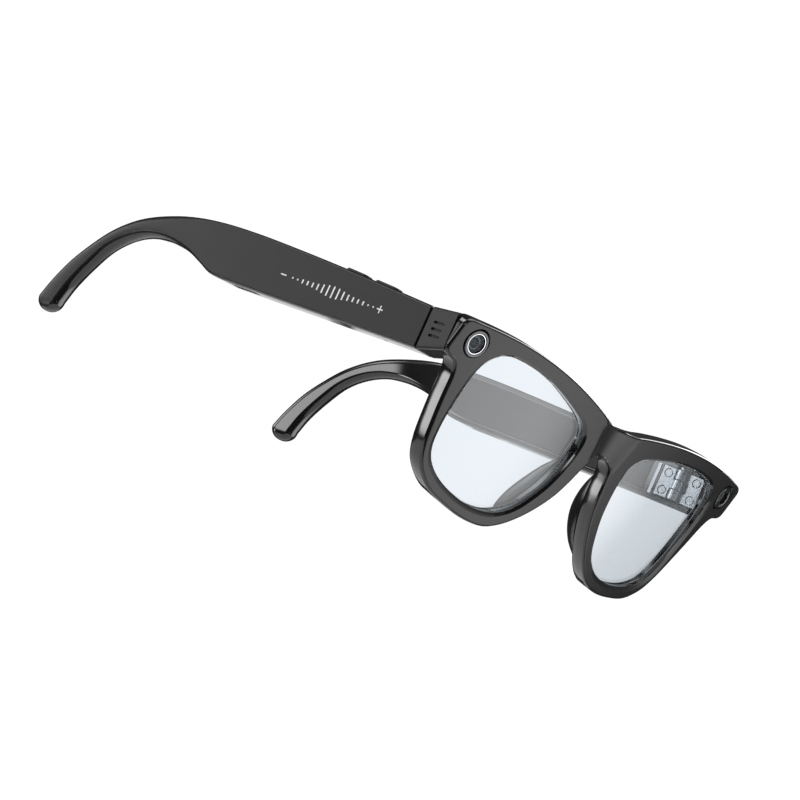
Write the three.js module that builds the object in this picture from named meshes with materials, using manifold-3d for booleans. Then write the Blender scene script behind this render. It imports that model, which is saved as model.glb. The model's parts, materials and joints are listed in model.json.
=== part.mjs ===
// Camera glasses: a moulded front with two lenses, and two hollow temples that fold on screwed hinges.
// The front is drawn upright, x to the wearer's left, y backwards, z up, all in millimetres.
// Each temple is drawn in its own frame, whose origin is where its inner face meets the seam:
// x (w) points out of the head, y (u) runs back along the temple, z (n) runs up beside the hinge pin.
// At the end the whole pair is tipped so that the rims and the temple tips stand on z = 0.
import * as THREE from "three";
import { mergeVertices } from "three/addons/utils/BufferGeometryUtils.js";
import Module from "manifold-3d";

const wasm = await Module();
wasm.setup();

// ---------- driving dimensions ----------
const GAP = 0.3; // between pieces that touch
const FRONT_DEPTH = 5; // rim thickness, front to back
const EDGE_BEVEL = 1; // chamfer round the outline and the lens openings
const BOW = 8.8; // how far the front curves back at BOW_HALF_WIDTH from its middle
const TWIST = -1.8; // the rims' feet curve back more than their tops
const BOW_HALF_WIDTH = 75;
const MID_HEIGHT = 24;

const LENS_THICKNESS = 2;
const LENS_FRONT = 1.6; // lens front face behind the rim's front face
const LENS_EDGE = 0.6; // how far the lens reaches into its groove
const LENS_DOME = 1.2;

const MODULE_X = 67.2; // camera and light centres
const MODULE_Z = 39.6;
const MODULE_RECESS = { radius: 3.9, depth: 3.7 };

const SEAM = new THREE.Vector3(64.9, 17.45, 35.8); // the left temple's origin
const TEMPLE_DROP = THREE.MathUtils.degToRad(11.3); // temples slope down towards the ears
const TEMPLE_SPLAY = THREE.MathUtils.degToRad(5.5); // and lean in towards the head
const TEMPLE_THICKNESS = 8.5;
const TIP_THICKNESS = 5;
const TEMPLE_BEVEL = 0.8;
const BUTT = GAP / 2; // temple end and endpiece end stand this far from the seam
const ENDPIECE_TOP = 6.1;
const ENDPIECE_BOTTOM = -5.5;
const ENDPIECE_ROOT = [[-9.4, 6.7], [-7.2, -3.7]]; // where it meets the front, in u and n

const AXIS_U = 2; // the hinge pin stands this far behind the seam
const KNUCKLE = { radius: 1.9, bore: 0.85, top: 4.2, split: 1.4 };
const PIN_RADIUS = 0.65;
const LEAF_THICKNESS = 1.2;
const LEAF_END = 6.2;
const LEAF_SCREW = { u: 4.35, n: 2.5, head: 1, shank: 0.45 };

const WALL = 1.3;
const CAVITY = { start: 11.5, end: 80, outer: TEMPLE_THICKNESS - WALL };
const LEDGE = 0.8;
const BUTTON = { width: 3.6, travel: 0.5, proud: 0.7, middle: 4.4 };
const BUTTONS = [
  { name: "capture", from: 15.8, to: 23.8 },
  { name: "power", from: 27, to: 34.6 },
];

// ---------- materials ----------
const material = (color, roughness, metalness = 0, extra = {}) =>
  new THREE.MeshStandardMaterial({ color, roughness, metalness, ...extra });
const blackPlastic = material(0x151516, 0.3);
const satinPlastic = material(0x2c2c2e, 0.45);
const steel = material(0xb9bcc0, 0.3, 1);
const gold = material(0xd9b36a, 0.3, 1);
const lensGlass = material(0xc4ced4, 0.05, 0, { transparent: true, opacity: 0.35 });
const coverGlass = material(0x10151c, 0.05, 0, { transparent: true, opacity: 0.6 });
const opticBlack = material(0x0b0c10, 0.2);
const opticBlue = material(0x2a2f6e, 0.1);
const diffuser = material(0xe8e8e2, 0.4);
const board = material(0x12462c, 0.5);
const polyimide = material(0xa8641e, 0.4);
const cellFoil = material(0x8f9296, 0.35, 0.6);
const grilleMetal = material(0x3a3b3d, 0.5, 0.8);

// ---------- solids ----------
function toSolid(geometry) {
  const bare = geometry.index ? geometry.toNonIndexed() : geometry.clone();
  bare.deleteAttribute("normal");
  bare.deleteAttribute("uv");
  const merged = mergeVertices(bare, 1e-4);
  const vertProperties = merged.attributes.position.array;
  const triVerts = new Uint32Array(merged.index.array);
  return new wasm.Manifold(new wasm.Mesh({ numProp: 3, vertProperties, triVerts }));
}

function toGeometry(solid) {
  const { vertProperties, triVerts } = solid.getMesh();
  const geometry = new THREE.BufferGeometry();
  geometry.setAttribute("position", new THREE.BufferAttribute(vertProperties, 3));
  return geometry.setIndex(new THREE.BufferAttribute(triVerts, 1));
}

const cut = (body, ...tools) =>
  toGeometry(tools.reduce((left, tool) => left.subtract(toSolid(tool)), toSolid(body)));
const join = (...bodies) =>
  toGeometry(bodies.map(toSolid).reduce((whole, body) => whole.add(body)));

function box(x0, x1, y0, y1, z0, z1) {
  const middle = [(x0 + x1) / 2, (y0 + y1) / 2, (z0 + z1) / 2];
  return new THREE.BoxGeometry(x1 - x0, y1 - y0, z1 - z0).translate(...middle);
}

// A round post along z, from z0 to z1.
const post = (radius, z0, z1, sides = 20) =>
  new THREE.CylinderGeometry(radius, radius, z1 - z0, sides)
    .rotateX(Math.PI / 2)
    .translate(0, 0, (z0 + z1) / 2);

// A turned piece round z, from a closed [radius, height] profile.
const turned = (profile, sides = 20) =>
  new THREE.LatheGeometry(profile.map(([r, h]) => new THREE.Vector2(r, h)), sides)
    .rotateX(Math.PI / 2);

const [X, Y, Z] = [0, 1, 2].map((axis) => new THREE.Vector3().setComponent(axis, 1));
const AS_FRONT = new THREE.Matrix4().makeBasis(X, Z, Y.clone().negate()); // drawn in x and z
const AS_SIDE = new THREE.Matrix4().makeBasis(Y, Z, X); // drawn in u and n
const AS_TOP = new THREE.Matrix4();

// A plate drawn as a shape, whose thickness runs from 0 along the third axis of its plane.
function plate(shape, plane, thickness, bevel = 0) {
  const options = { depth: thickness - 2 * bevel, steps: 1, bevelEnabled: bevel > 0 };
  const bevels = { bevelThickness: bevel, bevelSize: bevel, bevelOffset: -bevel, bevelSegments: 1 };
  return new THREE.ExtrudeGeometry(shape, { ...options, ...bevels })
    .translate(0, 0, bevel)
    .applyMatrix4(plane);
}

function roundedRectangle(x0, x1, y0, y1, radius) {
  const shape = new THREE.Shape();
  shape.absarc(x1 - radius, y0 + radius, radius, -Math.PI / 2, 0);
  shape.absarc(x1 - radius, y1 - radius, radius, 0, Math.PI / 2);
  shape.absarc(x0 + radius, y1 - radius, radius, Math.PI / 2, Math.PI);
  shape.absarc(x0 + radius, y0 + radius, radius, Math.PI, 1.5 * Math.PI);
  return new THREE.Shape(shape.getPoints(3));
}

// A smooth line through points, as evenly spaced 2-D points.
function smooth(points, count, closed = false) {
  const through = points.map(([x, y]) => new THREE.Vector3(x, y, 0));
  const curve = new THREE.CatmullRomCurve3(through, closed, "centripetal");
  const line = curve.getSpacedPoints(count).map((p) => new THREE.Vector2(p.x, p.y));
  return closed ? line.slice(0, -1) : line;
}

// Each point of a line moved along its own normal; a counter-clockwise loop grows with distance > 0.
function offset(line, distance, closed = true) {
  const count = line.length;
  return line.map((point, i) => {
    const before = line[closed ? (i + count - 1) % count : Math.max(i - 1, 0)];
    const after = line[closed ? (i + 1) % count : Math.min(i + 1, count - 1)];
    const along = after.clone().sub(before).normalize();
    return new THREE.Vector2(point.x + along.y * distance, point.y - along.x * distance);
  });
}

// A closed skin over rings of equal length, capped at both ends by a fan from the ring's middle.
function skin(rings) {
  const sides = rings[0].length;
  const points = rings.flat();
  const index = [];
  rings.slice(1).forEach((_, r) => {
    for (let i = 0; i < sides; i++) {
      const [a, b] = [r * sides + i, r * sides + ((i + 1) % sides)];
      index.push(a, b, a + sides, b, b + sides, a + sides);
    }
  });
  for (const [ring, start] of [[rings[0], 0], [rings.at(-1), (rings.length - 1) * sides]]) {
    const middle = ring.reduce((sum, p) => sum.add(p), new THREE.Vector3()).divideScalar(sides);
    points.push(middle);
    for (let i = 0; i < sides; i++) {
      const [a, b] = [start + i, start + ((i + 1) % sides)];
      index.push(...(start ? [a, b, points.length - 1] : [b, a, points.length - 1]));
    }
  }
  return new THREE.BufferGeometry().setFromPoints(points).setIndex(index);
}

// The front's curve: how far back a point of the flat front moves.
const bowAt = (x, z) =>
  (x / BOW_HALF_WIDTH) ** 2 * (BOW + (TWIST * (z - MID_HEIGHT)) / MID_HEIGHT);

function bowed(geometry) {
  const { position } = geometry.attributes;
  for (let i = 0; i < position.count; i++)
    position.setY(i, position.getY(i) + bowAt(position.getX(i), position.getZ(i)));
  return geometry;
}

// A front-plane plate from y0 to y1, before bowing.
const frontPlate = (shape, y0, y1, bevel = 0) =>
  plate(shape, AS_FRONT, y1 - y0, bevel).translate(0, y1, 0);

// ---------- outlines ----------
const browLine = [
  [0, 40.4], [6.3, 41.1], [13.4, 42.7], [22.9, 44.4], [32.4, 45.6],
  [41.9, 46.2], [51.4, 46.3], [60.9, 45.7], [71.8, 44.5],
];
const cheekLine = [
  [71.6, 33.4], [69.4, 32.8], [67.5, 29.6], [65.8, 23.5], [64.2, 18.3], [61.8, 11.6],
  [59.2, 7.2], [56.1, 4.5], [51.4, 2.1], [44.2, 0.7], [35.5, 0], [27.6, 0.9], [22.9, 3.1],
  [18.1, 6.8], [13.4, 11.8], [9.6, 17.3], [7.5, 22.2], [6, 26.8], [4.4, 30.2], [2.4, 31.5],
  [0, 31.8],
];
const openingLine = [
  [49, 42], [41.9, 42], [34.7, 41.4], [27.6, 40], [20.5, 38.2], [16.7, 36.9], [14.1, 35.2],
  [12.6, 32.8], [12.4, 29.7], [13.1, 24.4], [14.8, 18.8], [17.7, 13.5], [20.5, 9.7], [24.3, 6.7],
  [29.1, 4.7], [36.8, 3.8], [46.6, 4.9], [52.3, 6.7], [56.1, 9], [58.5, 12.1], [60.1, 17.3],
  [60.9, 23], [61.3, 30.5], [60.7, 35.6], [58.8, 38.8], [55, 41.2],
];
const wireLine = [
  [0, 38.2], [6.3, 38.8], [13.4, 40.3], [22.9, 42], [32.4, 43.3], [41.9, 44],
  [51.4, 44.1], [58, 43.4], [62.6, 42.2], [65.2, 41],
];

const mirrored = (line) => line.map((p) => new THREE.Vector2(-p.x, p.y)).reverse();

function frontOutline() {
  const side = 74.6; // the endpiece's outer face
  const corner = new THREE.Path().moveTo(71.8, 44.5);
  corner.quadraticCurveTo(side, 44.2, side, 41.6);
  corner.lineTo(side, 36);
  corner.quadraticCurveTo(side, 33.6, 71.6, 33.4);
  const half = [...smooth(browLine, 18), ...corner.getPoints(3).slice(1, -1), ...smooth(cheekLine, 38)];
  return new THREE.Shape([...mirrored(half).slice(0, -1), ...half.slice(0, -1)]);
}

const OPENING_POINTS = 44;
const leftOpening = smooth(openingLine, OPENING_POINTS, true);
const opening = (side, grow = 0) => {
  const line = offset(leftOpening, grow);
  return side > 0 ? line : mirrored(line);
};

// ---------- front ----------
const moduleYaw = (side) => side * Math.atan((2 * BOW * MODULE_X) / BOW_HALF_WIDTH ** 2);

// Stands a turned piece in the front, its axis square to the front's surface and z = 0 on the face.
function atModule(geometry, side) {
  return geometry
    .rotateX(Math.PI / 2)
    .rotateZ(moduleYaw(side))
    .translate(side * MODULE_X, bowAt(MODULE_X, MODULE_Z), MODULE_Z);
}

// Temple frame to front frame, for the left side; the right side is its mirror image.
const templeFrame = new THREE.Matrix4()
  .makeRotationFromEuler(new THREE.Euler(-TEMPLE_DROP, 0, TEMPLE_SPLAY))
  .setPosition(SEAM);

function inFront(geometry, side) {
  geometry.applyMatrix4(templeFrame);
  if (side > 0) return geometry;
  return toGeometry(toSolid(geometry).scale([-1, 1, 1]));
}

function endpieceBlock() {
  const seam = [[-BUTT, ENDPIECE_BOTTOM], [-BUTT, ENDPIECE_TOP]];
  const outline = [...seam, ...ENDPIECE_ROOT].map(([u, n]) => new THREE.Vector2(u, n));
  return plate(new THREE.Shape(outline), AS_SIDE, TEMPLE_THICKNESS, TEMPLE_BEVEL);
}

// The round room the knuckles turn in.
const pinClearance = () =>
  post(KNUCKLE.radius + 2 * GAP, -KNUCKLE.top - GAP, KNUCKLE.top + 1.3).translate(0, AXIS_U, 0);

// Holes for the two screws of a leaf: side -1 in the endpiece, +1 in the temple.
const leafScrewHoles = (side) =>
  [-LEAF_SCREW.n, LEAF_SCREW.n].map((z) =>
    post(LEAF_SCREW.shank + GAP, 0, 4.2, 12)
      .rotateY(Math.PI / 2)
      .translate(0, AXIS_U + side * LEAF_SCREW.u, z),
  );

// What is cut from an endpiece: the hinge pocket, the wire duct and three sound slots in its side.
function endpieceCuts() {
  const { top } = KNUCKLE;
  const floor = LEAF_THICKNESS + GAP;
  const slots = [-1.6, 0.2, 2].map((z) =>
    box(TEMPLE_THICKNESS - 0.5, TEMPLE_THICKNESS + 1, -6.4, -2.6, z, z + 0.7),
  );
  return [
    box(-3, floor, AXIS_U - LEAF_END - GAP, 1, -top - GAP, top + GAP),
    pinClearance(),
    box(4, 7, -9, 1, -2, 2),
    ...leafScrewHoles(-1),
    ...slots,
  ];
}

// The scoop that sets the bridge back between the two rims.
function bridgeScoop() {
  const radius = 22;
  return new THREE.CylinderGeometry(radius, radius, 40, 72)
    .rotateX(Math.PI / 2)
    .rotateX(THREE.MathUtils.degToRad(4.5))
    .translate(0, 1.15 - radius, 35.4);
}

const wireStrip = (halfWidth, y0, y1, reach) => {
  const half = smooth(wireLine, 16).filter((p) => p.x <= reach);
  const line = [...mirrored(half).slice(0, -1), ...half];
  const edges = [...offset(line, halfWidth, false), ...offset(line, -halfWidth, false).reverse()];
  return frontPlate(new THREE.Shape(edges), y0, y1);
};
const CHANNEL = { halfWidth: 0.9, floor: 3 };

function frontFrame() {
  const shape = frontOutline();
  shape.holes = [1, -1].map((side) => new THREE.Path(opening(side)));
  const grooves = [1, -1].map((side) =>
    frontPlate(
      new THREE.Shape(opening(side, LENS_EDGE + GAP)),
      LENS_FRONT - GAP,
      LENS_FRONT + LENS_THICKNESS + GAP,
    ),
  );
  const channel = bowed(wireStrip(CHANNEL.halfWidth, CHANNEL.floor, FRONT_DEPTH + 1, 64));
  const flat = cut(
    frontPlate(shape, 0, FRONT_DEPTH, EDGE_BEVEL),
    ...grooves,
    bridgeScoop(),
  );
  const { radius, depth } = MODULE_RECESS;
  const sides = [1, -1];
  const solid = join(bowed(flat), ...sides.map((side) => inFront(endpieceBlock(), side)));
  return cut(
    solid,
    channel,
    ...sides.map((side) => atModule(post(radius, -depth, 2, 24), side)),
    ...sides.flatMap((side) => endpieceCuts().map((tool) => inFront(tool, side))),
  );
}

// A meniscus lens: rings of the opening's outline shrink towards the middle on both faces.
function lens(side) {
  const rim = opening(side, LENS_EDGE);
  const middle = new THREE.Vector2(side * 37, 24);
  const shares = [0, 0.6, 1];
  const ring = (share, y) =>
    rim.map((p) => {
      const at = middle.clone().lerp(p, Math.max(share, 0.05));
      return new THREE.Vector3(at.x, y - LENS_DOME * (1 - share * share), at.y);
    });
  const front = shares.map((share) => ring(share, LENS_FRONT));
  const back = shares.map((share) => ring(share, LENS_FRONT + LENS_THICKNESS)).reverse();
  return bowed(skin([...front, ...back].reverse()));
}

// A pad glued behind the rim's nose side: flat against the rim, round towards the nose.
function nosePad(side) {
  const line = [[6.1, 27.6], [7.4, 23.2], [9.6, 17.3], [12.4, 12.8], [15.8, 8.8], [19.6, 5.6]];
  const spine = smooth(line, 10);
  const arc = 9;
  const rings = spine.map((at, i) => {
    const share = i / (spine.length - 1);
    const fullness = Math.sin(Math.PI * (0.06 + 0.88 * share)) ** 0.6;
    const [halfWidth, reach] = [2 * fullness, 5 * fullness];
    return Array.from({ length: arc + 1 }, (_, k) => {
      const turn = (Math.PI * k) / arc;
      const y = reach * Math.sin(turn);
      const x = at.x + 2.3 + halfWidth * Math.cos(turn) + 0.28 * y;
      return new THREE.Vector3(side * x, FRONT_DEPTH + GAP + y, at.y);
    });
  });
  return bowed(skin(side < 0 ? rings : rings.map((ring) => ring.reverse())));
}

// ---------- camera and light modules ----------
const bezel = () =>
  turned([[2.8, -0.9], [3.6, -0.9], [3.6, 0.05], [3.35, 0.3], [3, 0.3], [2.8, 0.1], [2.8, -0.9]]);
const windowDisc = () => post(2.5, -0.75, -0.2, 20);
const cameraBarrel = () =>
  turned([
    [0, -2.7], [3.4, -2.7], [3.4, -1.8], [2.6, -1.2], [1.9, -1.2], [1.5, -1.9], [0, -1.9], [0, -2.7],
  ]);
const cameraOptic = () =>
  turned([[0, -1.6], [1.15, -1.6], [0.8, -1.25], [0, -1.1], [0, -1.6]], 20);
const lightGuide = () =>
  turned([[0, -2.7], [2.2, -2.7], [2.2, -2.3], [1.7, -1.3], [0, -1.1], [0, -2.7]]);
const moduleBoard = () => box(-2.4, 2.4, -2.4, 2.4, -3.4, -3);

// ---------- hinge ----------
// A leaf with its knuckles. side -1 lies in the endpiece, side +1 in the temple.
function hingeLeaf(side, spans) {
  const { radius, bore, top } = KNUCKLE;
  const clear = radius + 2 * GAP;
  const flip = (u0, u1) => (side > 0 ? [u0, u1] : [-u1, -u0]);
  const arms = spans.flatMap(([low, high]) => [
    post(radius, low, high, 24),
    box(0, LEAF_THICKNESS, ...flip(0, clear + 0.5), low, high),
  ]);
  const { u, n, head, shank } = LEAF_SCREW;
  const holes = [-n, n].flatMap((z) => [
    post(head + GAP, -1, 0.65, 16).rotateY(Math.PI / 2).translate(0, side * u, z),
    post(shank + GAP, -1, 3, 12).rotateY(Math.PI / 2).translate(0, side * u, z),
  ]);
  const blade = box(0, LEAF_THICKNESS, ...flip(clear, LEAF_END), -top, top);
  return cut(join(blade, ...arms), post(bore, -top - 1, top + 1, 20), ...holes).translate(0, AXIS_U, 0);
}
const frontLeaf = () => {
  const { top, split } = KNUCKLE;
  return hingeLeaf(-1, [[-top, -split - GAP / 2], [split + GAP / 2, top]]);
};
const templeLeaf = () => {
  const half = KNUCKLE.split - GAP / 2;
  return hingeLeaf(1, [[-half, half]]);
};

const hingePin = () =>
  cut(
    join(
      post(PIN_RADIUS, -KNUCKLE.top, KNUCKLE.top + 0.4, 16),
      post(1.3, KNUCKLE.top + 0.3, KNUCKLE.top + 0.9, 20),
    ),
    box(-2, 2, -0.2, 0.2, KNUCKLE.top + 0.6, KNUCKLE.top + 2),
  ).translate(0, AXIS_U, 0);

const leafScrew = (side, n) => {
  const { u, head, shank } = LEAF_SCREW;
  return join(post(head, 0.05, 0.4, 16), post(shank, 0.3, 3.4, 12))
    .rotateY(Math.PI / 2)
    .translate(0, AXIS_U + side * u, n);
};

// ---------- temples ----------
const topLine = [
  [131.6, -26], [129.9, -21.5], [126.3, -14.5], [121.9, -8.6], [117, -3.3], [111.7, 0.7],
  [105.7, 3.8], [97, 6.4], [88.6, 7.9], [78, 8.8], [66, 9], [50, 8.6], [28.6, 7.7], [BUTT, ENDPIECE_TOP],
];
const underLine = [
  [72, -5.5], [76.6, -5], [81, -3.4], [86.5, -1.6], [92.5, -0.7], [98.6, -0.6], [104.3, -1.6],
  [109.8, -4.2], [114.6, -8.2], [118.5, -13.9], [122, -20.5], [123.7, -25.5],
];
const tipLine = [
  [123.7, -25.5], [124.4, -27.9], [126.6, -29.2], [129.4, -28.9], [131.2, -27.8], [131.6, -26],
];

// The temple's side outline between two stations, shrunk by inset.
function templeProfile(inset = 0, from = BUTT, to = Infinity) {
  const round = [...smooth(underLine, 18), ...smooth(tipLine, 6).slice(1, -1), ...smooth(topLine, 34)];
  const whole = offset([new THREE.Vector2(BUTT, ENDPIECE_BOTTOM), ...round], -inset);
  const kept = whole.filter((p) => p.x > from + 0.01 && p.x < to - 0.01);
  if (to === Infinity) return new THREE.Shape(inset ? kept : whole);
  const heightAt = (x, side) => {
    const ends = whole.map((p, i) => [p, whole[(i + 1) % whole.length]]);
    const crossing = ends.filter(([a, b]) => (a.x - x) * (b.x - x) <= 0 && a.x !== b.x);
    const heights = crossing.map(([a, b]) => a.y + ((b.y - a.y) * (x - a.x)) / (b.x - a.x));
    return side > 0 ? Math.max(...heights) : Math.min(...heights);
  };
  const corner = (x, side) => new THREE.Vector2(x, heightAt(x, side));
  const under = kept.filter((p) => p.y < 0).sort((a, b) => a.x - b.x);
  const over = kept.filter((p) => p.y >= 0).sort((a, b) => b.x - a.x);
  const start = [corner(from, -1), ...under, corner(to, -1)];
  return new THREE.Shape([...start, corner(to, 1), ...over, corner(from, 1)]);
}

// The temple thins from its inner side towards the tip.
function thinned(geometry) {
  const { position } = geometry.attributes;
  for (let i = 0; i < position.count; i++) {
    const share = THREE.MathUtils.smoothstep(position.getY(i), 78, 104);
    const thickness = THREE.MathUtils.lerp(TEMPLE_THICKNESS, TIP_THICKNESS, share);
    const inward = (TEMPLE_THICKNESS - position.getX(i)) * (thickness / TEMPLE_THICKNESS);
    position.setX(i, TEMPLE_THICKNESS - inward);
  }
  return geometry;
}

const cavityProfile = (inset) =>
  templeProfile(inset, CAVITY.start + inset - WALL, CAVITY.end - inset + WALL);

// A frame on the temple's top edge over u, tipped to lie along it: z = 0 is the surface.
function onTopEdge(geometry, u) {
  const slope = (7.7 - ENDPIECE_TOP) / 28.6;
  const height = u < 28.6 ? ENDPIECE_TOP + slope * u : 7.7 + ((u - 28.6) * 0.9) / 21.4;
  return geometry.rotateX(Math.atan(slope)).translate(BUTTON.middle, u, height);
}

const buttonLength = ({ from, to }) => to - from;
const buttonMiddle = ({ from, to }) => (from + to) / 2;

function buttonHole(button) {
  const half = { u: buttonLength(button) / 2 + GAP, w: BUTTON.width / 2 + GAP };
  const shape = roundedRectangle(-half.w, half.w, -half.u, half.u, 1.2);
  return onTopEdge(plate(shape, AS_TOP, 5).translate(0, 0, -3), buttonMiddle(button));
}

// A key that stands proud of the temple, with a flange below the wall that keeps it in.
function buttonKey(button) {
  const half = { u: buttonLength(button) / 2, w: BUTTON.width / 2 };
  const depth = WALL + LEDGE + GAP; // the flange lies just under the ledge
  const height = BUTTON.proud + depth + 0.2;
  const key = plate(roundedRectangle(-half.w, half.w, -half.u, half.u, 1), AS_TOP, height, 0.35);
  const flange = box(-half.w, half.w, -half.u - 0.8, half.u + 0.8, -depth - 0.5, -depth);
  return onTopEdge(join(key.translate(0, 0, -depth - 0.2), flange), buttonMiddle(button));
}

const buttonSwitch = (button) =>
  onTopEdge(
    join(box(-1.5, 1.5, -1.6, 1.6, -4.6, -3.8), post(0.8, -3.9, -3.5, 12)),
    buttonMiddle(button),
  );

const CHARGE_PINS = [15, 20.5];
const MIC = { u: 14.4, w: 3.1 };
const GRILLE = { from: 60.5, to: 69.5, w0: 3, w1: 5.8 };

function templeShell(buttons) {
  const { top } = KNUCKLE;
  const floor = LEAF_THICKNESS + GAP;
  const body = thinned(plate(templeProfile(), AS_SIDE, TEMPLE_THICKNESS, TEMPLE_BEVEL));
  const rebate = plate(cavityProfile(WALL), AS_SIDE, floor + 1).translate(-1, 0, 0);
  const hollow = plate(cavityProfile(WALL + LEDGE), AS_SIDE, CAVITY.outer - 1).translate(1, 0, 0);
  return cut(
    body,
    rebate,
    hollow,
    box(-3, floor, -1, AXIS_U + LEAF_END + GAP, -top - GAP, top + GAP),
    pinClearance(),
    box(4, 7, -1, CAVITY.start + 1.5, -2, 2),
    ...leafScrewHoles(1),
    box(GRILLE.w0, GRILLE.w1, GRILLE.from, GRILLE.to, -8, -2.5),
    post(0.5, -8, -2.5, 12).translate(MIC.w, MIC.u, 0),
    ...buttons.map(buttonHole),
  );
}

function innerCover(holes) {
  const sheet = plate(cavityProfile(WALL + GAP), AS_SIDE, LEAF_THICKNESS);
  if (!holes.length) return sheet;
  return cut(sheet, ...holes.map((u) => post(1.2, -1, 3, 16).rotateY(Math.PI / 2).translate(0, u, 0)));
}

const chargePin = (u) =>
  join(post(0.9, 0, 1.4, 16), post(1.5, 1.55, 2.1, 16), post(0.6, 1, 2, 12))
    .rotateY(Math.PI / 2)
    .translate(0, u, 0);

const grille = () => {
  const { from, to, w0, w1 } = GRILLE;
  const strip = box(w0 + GAP, w1 - GAP, from + GAP, to - GAP, -5.3, -4.5);
  const slits = [0, 1, 2, 3, 4].map((i) => {
    const start = from + 1 + i * 1.6;
    return box(w0 + 0.8, w1 - 0.8, start, start + 0.7, -6, -4);
  });
  return cut(strip, ...slits);
};

const speaker = () =>
  join(
    plate(roundedRectangle(65, 77, -2.9, 3.6, 2), AS_SIDE, 3.4).translate(2.4, 0, 0),
    plate(roundedRectangle(67, 75, -1.7, 2.4, 1.5), AS_SIDE, 0.9).translate(5.5, 0, 0),
  );
const battery = () => plate(roundedRectangle(40, 63.5, -3, 6, 1), AS_SIDE, 4.2, 0.4).translate(2, 0, 0);
const mainBoard = () => box(5.6, 6.3, 13, 38.5, -3, 1);
const shieldCan = () => box(3.9, 5.3, 16, 27, -2.7, 0.7);
const touchFilm = () => box(6.7, 6.95, 14, 58, -2.4, 3.6);
const buttonBoard = () => onTopEdge(box(-1.9, 1.9, -6, 14.6, -5.5, -4.9), buttonMiddle(BUTTONS[0]) + 1);
const microphone = () => box(MIC.w - 1, MIC.w + 1, MIC.u - 1.4, MIC.u + 1.4, -3, -1.9);

// ---------- assembly ----------
const glasses = new THREE.Group();

function add(parent, name, geometry, look) {
  const piece = new THREE.Mesh(geometry, look);
  piece.name = name;
  parent.add(piece);
}

function buildFront() {
  const front = new THREE.Group();
  add(front, "front_frame", frontFrame(), blackPlastic);
  add(front, "brow_wire_cover", bowed(wireStrip(0.6, 4.2, FRONT_DEPTH, 61)), satinPlastic);
  add(front, "brow_flex_cable", bowed(wireStrip(0.5, 3.35, 3.6, 61.5)), polyimide);
  for (const [side, name] of [[1, "left"], [-1, "right"]]) {
    add(front, `${name}_lens`, lens(side), lensGlass);
    add(front, `${name}_nose_pad`, nosePad(side), blackPlastic);
  }
  add(front, "camera_bezel", atModule(bezel(), -1), steel);
  add(front, "camera_window", atModule(windowDisc(), -1), coverGlass);
  add(front, "camera_barrel", atModule(cameraBarrel(), -1), opticBlack);
  add(front, "camera_optic", atModule(cameraOptic(), -1), opticBlue);
  add(front, "camera_sensor_board", atModule(moduleBoard(), -1), board);
  add(front, "light_bezel", atModule(bezel(), 1), steel);
  add(front, "light_window", atModule(windowDisc(), 1), coverGlass);
  add(front, "light_guide", atModule(lightGuide(), 1), diffuser);
  add(front, "light_board", atModule(moduleBoard(), 1), board);
  glasses.add(front);
}

// A group that holds one side's pieces in the temple frame.
function sideGroup(side) {
  const mirror = new THREE.Group();
  mirror.scale.x = side;
  const frame = new THREE.Group();
  frame.applyMatrix4(templeFrame);
  mirror.add(frame);
  glasses.add(mirror);
  return frame;
}

function buildTemple(side, name) {
  const frame = sideGroup(side);
  const right = side < 0;
  add(frame, `${name}_front_hinge_leaf`, frontLeaf(), steel);
  add(frame, `${name}_hinge_screw`, hingePin(), steel);
  add(frame, `${name}_temple_hinge_leaf`, templeLeaf(), steel);
  for (const [end, place] of [[-1, "front"], [1, "temple"]])
    for (const [n, level] of [[LEAF_SCREW.n, "upper"], [-LEAF_SCREW.n, "lower"]])
      add(frame, `${name}_${place}_leaf_screw_${level}`, leafScrew(end, n), steel);
  add(frame, `${name}_temple_shell`, templeShell(right ? BUTTONS : []), blackPlastic);
  add(frame, `${name}_temple_inner_cover`, innerCover(right ? CHARGE_PINS : []), satinPlastic);
  add(frame, `${name}_battery`, battery(), cellFoil);
  add(frame, `${name}_speaker`, speaker(), opticBlack);
  add(frame, `${name}_speaker_grille`, grille(), grilleMetal);
  add(frame, `${name}_circuit_board`, mainBoard(), board);
  add(frame, `${name}_microphone`, microphone(), steel);
  if (!right) return;
  add(frame, "processor_shield", shieldCan(), steel);
  add(frame, "touch_sensor_film", touchFilm(), polyimide);
  add(frame, "button_board", buttonBoard(), board);
  for (const button of BUTTONS) {
    add(frame, `${button.name}_button`, buttonKey(button), blackPlastic);
    add(frame, `${button.name}_switch`, buttonSwitch(button), opticBlack);
  }
  CHARGE_PINS.forEach((u, i) => add(frame, `charge_pin_${i ? "rear" : "front"}`, chargePin(u), gold));
}

buildFront();
buildTemple(1, "left");
buildTemple(-1, "right");

// ---------- standing on the table ----------
// Tips the pair until the rims' feet and the temple tips are level.
function lowest(name) {
  glasses.updateMatrixWorld(true);
  const piece = glasses.getObjectByName(name);
  const points = piece.geometry.attributes.position;
  let best = new THREE.Vector3(0, 0, Infinity);
  for (let i = 0; i < points.count; i++) {
    const at = new THREE.Vector3().fromBufferAttribute(points, i).applyMatrix4(piece.matrixWorld);
    if (at.z < best.z) best = at;
  }
  return best;
}

for (let pass = 0; pass < 4; pass++) {
  const run = lowest("left_temple_shell").sub(lowest("front_frame"));
  glasses.rotation.x -= Math.atan2(run.z, run.y);
}

const stand = new THREE.Group();
stand.add(glasses);
const bounds = new THREE.Box3().setFromObject(stand, true);
const centre = bounds.getCenter(new THREE.Vector3());
glasses.position.set(-centre.x, -centre.y, -bounds.min.z);

export default stand;
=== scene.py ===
import json
import math

import bmesh
import bpy
import numpy as np
from mathutils import Euler, Matrix, Vector


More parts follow.
